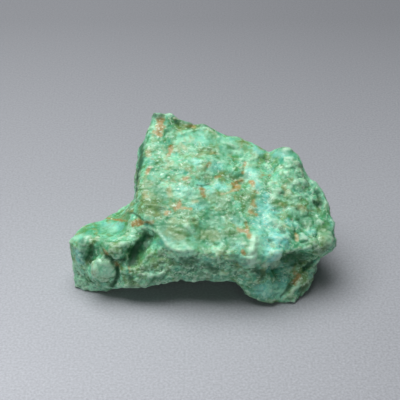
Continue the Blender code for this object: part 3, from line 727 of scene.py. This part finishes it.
def stone_material(settings):
    """Turquoise, a waxy copper phosphate broken out of its host rock: its colour shifts from mint to blue
    and leaf green within millimetres, crests are worn pale and carry a painted highlight, hollows and
    clefts carry painted shade, some pale patches are painted light, pits keep iron rust, and light sinks in
    a little, which softens the small shadows."""
    made = bpy.data.materials.new("weathered_turquoise_broken_surface")
    made.use_nodes = True
    tree = made.node_tree
    shader = tree.nodes["Principled BSDF"]

    place = add_node(tree, "ShaderNodeTexCoord").outputs["Object"]
    per_metre = (1.0 / MM,) * 3
    in_mm = add_node(tree, "ShaderNodeMapping", {"Vector": place, "Scale": per_metre}).outputs[0]
    drift = add_node(tree, "ShaderNodeTexNoise", {"Vector": in_mm, "Scale": DRIFT_SCALE, "Detail": 2.0})
    warped = add_node(
        tree, "ShaderNodeVectorMath", {0: drift.outputs["Color"], 1: (DRIFT_REACH,) * 3, 2: in_mm},
        operation="MULTIPLY_ADD",
    ).outputs[0]
    along_face = add_node(tree, "ShaderNodeMapping", {"Vector": warped, "Scale": ALONG_FACE}).outputs[0]

    values = {}
    for name, (scale, detail, roughness, drawn_out) in NOISES.items():
        vector = along_face if drawn_out else warped
        values[name] = add_node(
            tree, "ShaderNodeTexNoise",
            {"Vector": vector, "Scale": scale, "Detail": detail, "Roughness": roughness},
        ).outputs["Fac"]
    for name in PAINTED:
        values[name] = add_node(tree, "ShaderNodeAttribute", attribute_name=name).outputs["Fac"]
    for name, operation, first, second in STONE_SUMS:
        terms = {0: values.get(first, first), 1: values.get(second, second)}
        node = add_node(tree, "ShaderNodeMath", terms, operation=operation, use_clamp=True)
        values[name] = node.outputs[0]

    def strength_of(masks):
        """How strong all the masks are together: their product."""
        strength = None
        for mask in masks:
            factor = values.get(mask)
            if factor is None:
                name, *limits = mask
                sockets = dict(zip(RANGE_INPUTS, (values[name], *limits)))
                eased = add_node(tree, "ShaderNodeMapRange", sockets, interpolation_type="SMOOTHSTEP")
                factor = eased.outputs["Result"]
            if strength is not None:
                terms = {0: strength, 1: factor}
                both = add_node(tree, "ShaderNodeMath", terms, operation="MULTIPLY", use_clamp=True)
                factor = both.outputs[0]
            strength = factor
        return strength

    def layered(base, layers):
        """A colour with layers of other colours over it."""
        for over, masks in layers:
            sockets = {"Factor": strength_of(masks), MIX_UNDER: base, MIX_OVER: colours[over]}
            base = add_node(tree, "ShaderNodeMix", sockets, data_type="RGBA").outputs[MIX_COLOUR]
        return base

    colours = {name: (*getattr(settings, name), 1.0) for name in COLOURS}
    colours["iron"] = layered(colours["brown"], IRON_LAYERS)
    tree.links.new(layered(colours["green"], STONE_LAYERS), shader.inputs["Base Color"])
    tree.links.new(strength_of(ROUGHNESS), shader.inputs["Roughness"])
    shader.inputs["IOR"].default_value = 1.61
    shader.inputs["Specular IOR Level"].default_value = 0.5
    shader.inputs["Subsurface Weight"].default_value = settings.translucency
    shader.inputs["Subsurface Radius"].default_value = (0.6, 1.0, 0.8)
    shader.inputs["Subsurface Scale"].default_value = 0.5 * MM

    below = {}
    for name, strength, depth in BUMPS:
        sockets = {"Height": values[name], "Strength": strength, "Distance": depth * MM, **below}
        below = {"Normal": add_node(tree, "ShaderNodeBump", sockets).outputs[0]}
    tree.links.new(below["Normal"], shader.inputs["Normal"])
    return made


def floor_material(settings):
    """Matt grey card with painted light: its colour is paler in front and to the left, standing in for the
    light's falloff, and its fine tooth shows as grain.
    """
    made = bpy.data.materials.new("grey_card_painted_falloff")
    made.use_nodes = True
    tree = made.node_tree
    shader = tree.nodes["Principled BSDF"]
    place = add_node(tree, "ShaderNodeTexCoord").outputs["Object"]
    split = add_node(tree, "ShaderNodeSeparateXYZ", {"Vector": place})
    tooth = add_node(
        tree, "ShaderNodeTexNoise", {"Vector": place, "Scale": FLOOR_TOOTH_SCALE, "Detail": 1.0}
    )
    values = {"X": split.outputs["X"], "Y": split.outputs["Y"], "tooth": tooth.outputs["Fac"]}
    # Painted light: these ranges darken the floor's colour towards the back and the right.
    for name, (source, *limits) in FLOOR_RANGES.items():
        sockets = dict(zip(RANGE_INPUTS, (values[source], *limits)))
        values[name] = add_node(tree, "ShaderNodeMapRange", sockets).outputs["Result"]
    for name, operation, first, second in FLOOR_SUMS:
        terms = {0: values[first], 1: values[second]}
        values[name] = add_node(tree, "ShaderNodeMath", terms, operation=operation).outputs[0]
    sockets = {"Factor": values["shade"], MIX_UNDER: BLACK, MIX_OVER: (*settings.floor, 1.0)}
    tint = add_node(tree, "ShaderNodeMix", sockets, data_type="RGBA")
    tree.links.new(tint.outputs[MIX_COLOUR], shader.inputs["Base Color"])
    shader.inputs["Roughness"].default_value = 0.7
    return made


class TURQUOISE_OT_stone(bpy.types.Operator):
    """Remakes the solid's skin finely, roughens it, carves the marks of the real stone and paints them,
    with painted light and shade among the paint
    """

    bl_idname = "turquoise.stone"
    bl_label = "Stone"
    bl_options = {"REGISTER", "UNDO"}

    def execute(self, context):
        settings = context.scene.turquoise_stone
        stone = self.copy_of_solid()
        cell = SKIN_CELL * MM
        apply_modifier(stone, "rounded", "SUBSURF", levels=1, render_levels=1)
        apply_modifier(stone, "even_skin", "REMESH", mode="VOXEL", voxel_size=cell)
        apply_modifier(stone, "relaxed", "SMOOTH", factor=0.5, iterations=RELAX_ROUNDS)
        self.wear_toe(stone)
        self.roughen(stone, settings, painted(Skin(stone), SMOOTH))
        skin = Skin(stone)
        self.carve(skin)
        self.paint(skin)
        self.keep_in_box(skin)
        for face in stone.data.polygons:
            face.use_smooth = True
        stone.data.materials.clear()
        stone.data.materials.append(stone_material(settings))
        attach(stone, "root")
        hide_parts(NODE)
        return {"FINISHED"}

    @staticmethod
    def copy_of_solid():
        solid = frame["nodes"][NODE]
        stone = bpy.data.objects.new("raw_turquoise", solid.data.copy())
        bpy.context.scene.collection.objects.link(stone)
        activate(stone)
        bpy.ops.object.mode_set(mode="EDIT")
        bpy.ops.mesh.select_all(action="SELECT")
        bpy.ops.mesh.remove_doubles(threshold=0.001 * MM)
        bpy.ops.object.mode_set(mode="OBJECT")
        return stone

    @staticmethod
    def wear_toe(stone):
        """Smooths the sharp point of the front foot round."""
        distance = np.array([(v.co / MM - TOE).length for v in stone.data.vertices])
        toe = weight_group(stone, "toe", 1.0 - smooth_step(distance, TOE_WORN, TOE_REACH))
        apply_modifier(stone, "blunt_toe", "SMOOTH", factor=0.5, iterations=TOE_ROUNDS, vertex_group=toe)
        stone.vertex_groups.clear()

    @staticmethod
    def roughen(stone, settings, smooth):
        """Broad swells, wrinkles on the broken faces, knobs at the right end and crumbs all over."""
        xs = np.array([v.co.x for v in stone.data.vertices]) / MM
        normals = np.array([v.normal[:] for v in stone.data.vertices])
        faces_front = smooth_step(-normals[:, 1], *BROKEN_FRONT)
        faces_down = smooth_step(-normals[:, 2], *BROKEN_BELOW)
        nodular, broken = smooth_step(xs, *NODULAR_END), np.maximum(faces_front, faces_down)
        strongest = {"nodular": nodular, "broken": broken}
        rough = 1.0 - SMOOTH_LOSS * smooth
        lie = bpy.data.objects.new("lie_of_the_face", None)
        bpy.context.scene.collection.objects.link(lie)
        lie.rotation_euler = (FACE_LEAN, 0.0, FACE_TURN)
        lie.scale = (FACE_STRETCH, 1.0, 1.0)
        bpy.context.view_layer.update()
        for name, kind, size, drawn_out, where, elsewhere, look in RELIEF:
            added = {"texture": relief_texture(name, kind, size, look), "strength": getattr(settings, name)}
            if where:
                weights = (elsewhere + (1.0 - elsewhere) * strongest[where]) * rough
                added["vertex_group"] = weight_group(stone, name, weights)
            if drawn_out:
                added.update(texture_coords="OBJECT", texture_coords_object=lie)
            apply_modifier(stone, name, "DISPLACE", mid_level=0.5, **added)
        bpy.data.objects.remove(lie)
        stone.vertex_groups.clear()

    @staticmethod
    def carve(skin):
        skin.crests = marks_height(skin, CRESTS)
        skin.grooves = marks_height(skin, GROOVES)
        bumps = np.zeros(len(skin.points))
        for x, y, radius, height in NODULES:
            reach = NODULE_SPREAD * radius / PIXELS_PER_MM
            found, share = skin.near([skin.hit(x, y)], reach, NODULE_RAGGED)
            bumps[found] = np.maximum(bumps[found], height * np.sqrt(1.0 - share**2))
        skin.push(bumps + skin.crests - skin.grooves)

    @staticmethod
    def paint(skin):
        """Stores what the material reads: crests worn pale with a painted highlight, painted shade in
        hollows, stains (painted light and shade among them) and clear stone.
        """
        small, large = skin.stand_out(SMALL_ROUNDS), skin.stand_out(LARGE_ROUNDS)
        # Pale crests: partly wear, partly a painted highlight along the ridges.
        crest = showing((small, large, skin.crests), CREST_LOOKS)
        # Painted shade: the hollows are darkened, more so on faces that look down.
        hollow = showing((-small, -large, skin.grooves), HOLLOW_LOOKS)
        at_end = smooth_step(skin.points[:, 0], *SHOWN_END)
        more = np.maximum(at_end, smooth_step(-skin.normals[:, 2], *SHOWN_BELOW))
        covers = {name: painted(skin, marks) for name, marks in STAINS.items()}
        covers["rust"] = painted(skin, RUST, **RUST_EDGES)
        covers["crest"] = np.minimum(crest * (1.0 + CREST_MORE * more), CREST_MOST)
        covers["hollow"] = HOLLOW_DARKNESS * np.minimum(hollow * (1.0 + HOLLOW_MORE * more), 1.0)
        worn = painted(skin, SMOOTH) + GREEN_SMOOTHNESS * covers["green"]
        covers["rough"] = 1.0 - np.minimum(worn, 1.0)
        for name in PAINTED:
            store(skin.obj, name, covers[name])

    @staticmethod
    def keep_in_box(skin):
        low, high = np.array(CAD_BOX) / MM
        skin.points = np.clip(skin.points, low, high)
        skin.refresh()


class TURQUOISE_OT_stage(bpy.types.Operator):
    """Makes the floor, the studio lights and the camera"""

    bl_idname = "turquoise.stage"
    bl_label = "Stage"
    bl_options = {"REGISTER", "UNDO"}

    def execute(self, context):
        settings = context.scene.turquoise_stage
        self.floor(settings)
        self.camera(context.scene)
        self.lights(context.scene, settings)
        context.scene.view_settings.view_transform = "Standard"
        return {"FINISHED"}

    @staticmethod
    def floor(settings):
        deselect_all()
        bpy.ops.mesh.primitive_plane_add(size=FLOOR_METRES)
        floor = bpy.context.object
        floor.name = "studio_floor"
        floor.data.materials.append(floor_material(settings))

    @staticmethod
    def camera(scene):
        place, forward, _, _ = camera_axes()
        camera = bpy.data.objects.new("camera", bpy.data.cameras.new("camera"))
        scene.collection.objects.link(camera)
        camera.location = place * MM
        camera.rotation_euler = forward.to_track_quat("-Z", "Y").to_euler()
        camera.data.lens = LENS
        camera.data.sensor_width = SENSOR
        camera.data.clip_start = 0.01
        scene.camera = camera

    @staticmethod
    def lights(scene, settings):
        scene.world = bpy.data.worlds.new("studio")
        scene.world.use_nodes = True
        sky = scene.world.node_tree.nodes["Background"]
        sky.inputs["Color"].default_value = (*linear(SKY_COLOUR), 1.0)
        sky.inputs["Strength"].default_value = SKY_STRENGTH
        for name, place, size, power in LIGHTS:
            lamp = bpy.data.lights.new(name, "AREA")
            lamp.size = size
            lamp.energy = power * settings.key_power
            holder = bpy.data.objects.new(name, lamp)
            scene.collection.objects.link(holder)
            holder.location = place
            holder.rotation_euler = (LIT_POINT - Vector(place)).to_track_quat("-Z", "Y").to_euler()


class TURQUOISE_PT_panel(bpy.types.Panel):
    """Lists what this file makes"""

    bl_label = "Raw turquoise"
    bl_idname = "TURQUOISE_PT_panel"
    bl_space_type = "VIEW_3D"
    bl_region_type = "UI"
    bl_category = "Raw turquoise"

    def draw(self, context):
        for group, operator in (
            (context.scene.turquoise_stone, TURQUOISE_OT_stone),
            (context.scene.turquoise_stage, TURQUOISE_OT_stage),
        ):
            box = self.layout.box()
            for name in group.__annotations__:
                box.prop(group, name)
            box.operator(operator.bl_idname)


CLASSES = (StoneSettings, StageSettings, TURQUOISE_OT_stone, TURQUOISE_OT_stage, TURQUOISE_PT_panel)


def register():
    for cls in CLASSES:
        bpy.utils.register_class(cls)
    bpy.types.Scene.turquoise_stone = bpy.props.PointerProperty(type=StoneSettings)
    bpy.types.Scene.turquoise_stage = bpy.props.PointerProperty(type=StageSettings)


def unregister():
    del bpy.types.Scene.turquoise_stage
    del bpy.types.Scene.turquoise_stone
    for cls in reversed(CLASSES):
        bpy.utils.unregister_class(cls)


def main():
    register()
    bpy.ops.turquoise.stone()
    bpy.ops.turquoise.stage()


if __name__ == "__main__":
    main()
